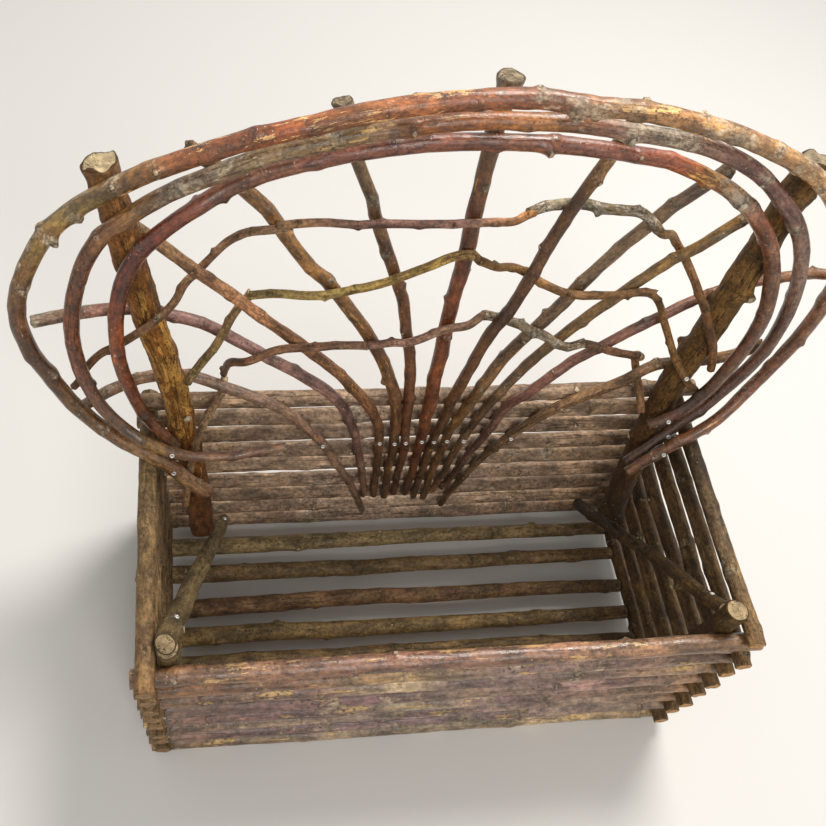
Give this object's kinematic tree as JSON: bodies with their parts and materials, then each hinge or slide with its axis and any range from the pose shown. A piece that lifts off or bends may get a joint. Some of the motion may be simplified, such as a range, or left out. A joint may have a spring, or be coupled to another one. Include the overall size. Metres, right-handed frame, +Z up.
{
  "type": "twig settee planter",
  "caption": "Settee-shaped planter of bent twigs: a stacked-stick box with a slatted bottom, two leaning posts and a fan back of spokes, hoops and cross twigs.",
  "frame": {"origin": "on the floor, under the middle of the part's bounding box", "axes": "+X to the planter's left as it faces you, which is right when seen from the front; +Y to the back, where the fan leans; +Z up"},
  "size_m": [0.7944, 0.3688, 0.6947],
  "materials": {
    "wall_bark": "satin bark, reddish brown with grey patches",
    "side_bark": "satin bark, dark olive brown",
    "slat_bark": "satin bark, dark brown",
    "post_bark": "satin bark, ochre brown, cut ends pale",
    "brace_bark": "satin bark, olive brown",
    "hoop_bark": "glossy bark, reddish brown with peeled ochre patches",
    "spoke_bark": "glossy bark, reddish and grey brown",
    "web_bark": "satin bark, light brown"
  },
  "bodies": {
    "root": {"back_wall_stick_1": "wall_bark", "front_wall_stick_1": "wall_bark", "left_wall_stick_1": "side_bark", "right_wall_stick_1": "side_bark", "back_wall_stick_2": "wall_bark", "front_wall_stick_2": "wall_bark", "left_wall_stick_2": "side_bark", "right_wall_stick_2": "side_bark", "back_wall_stick_3": "wall_bark", "front_wall_stick_3": "wall_bark", "left_wall_stick_3": "side_bark", "right_wall_stick_3": "side_bark", "back_wall_stick_4": "wall_bark", "front_wall_stick_4": "wall_bark", "left_wall_stick_4": "side_bark", "right_wall_stick_4": "side_bark", "back_wall_stick_5": "wall_bark", "front_wall_stick_5": "wall_bark", "left_wall_stick_5": "side_bark", "right_wall_stick_5": "side_bark", "back_wall_stick_6": "wall_bark", "front_wall_stick_6": "wall_bark", "left_wall_stick_6": "side_bark", "right_wall_stick_6": "side_bark", "back_wall_stick_7": "wall_bark", "front_wall_stick_7": "wall_bark", "left_wall_stick_7": "side_bark", "right_wall_stick_7": "side_bark", "back_wall_stick_8": "wall_bark", "front_wall_stick_8": "wall_bark", "left_wall_stick_8": "side_bark", "right_wall_stick_8": "side_bark", "back_wall_stick_9": "wall_bark", "floor_slat_1": "slat_bark", "floor_slat_2": "slat_bark", "floor_slat_3": "slat_bark", "floor_slat_4": "slat_bark", "floor_slat_5": "slat_bark", "left_back_post": "post_bark", "right_back_post": "post_bark", "left_corner_post_and_brace": "brace_bark", "right_corner_post_and_brace": "brace_bark", "outer_hoop": "hoop_bark", "middle_hoop": "hoop_bark", "inner_hoop": "hoop_bark", "spoke_1": "spoke_bark", "spoke_2": "spoke_bark", "spoke_3": "spoke_bark", "spoke_4": "spoke_bark", "spoke_5": "spoke_bark", "spoke_6": "spoke_bark", "spoke_7": "spoke_bark", "spoke_8": "spoke_bark", "spoke_9": "spoke_bark", "spoke_10": "spoke_bark", "spoke_11": "spoke_bark", "outer_web": "web_bark", "middle_web": "web_bark", "inner_web": "web_bark", "left_tie_twig": "web_bark"}
  },
  "joints": []
}
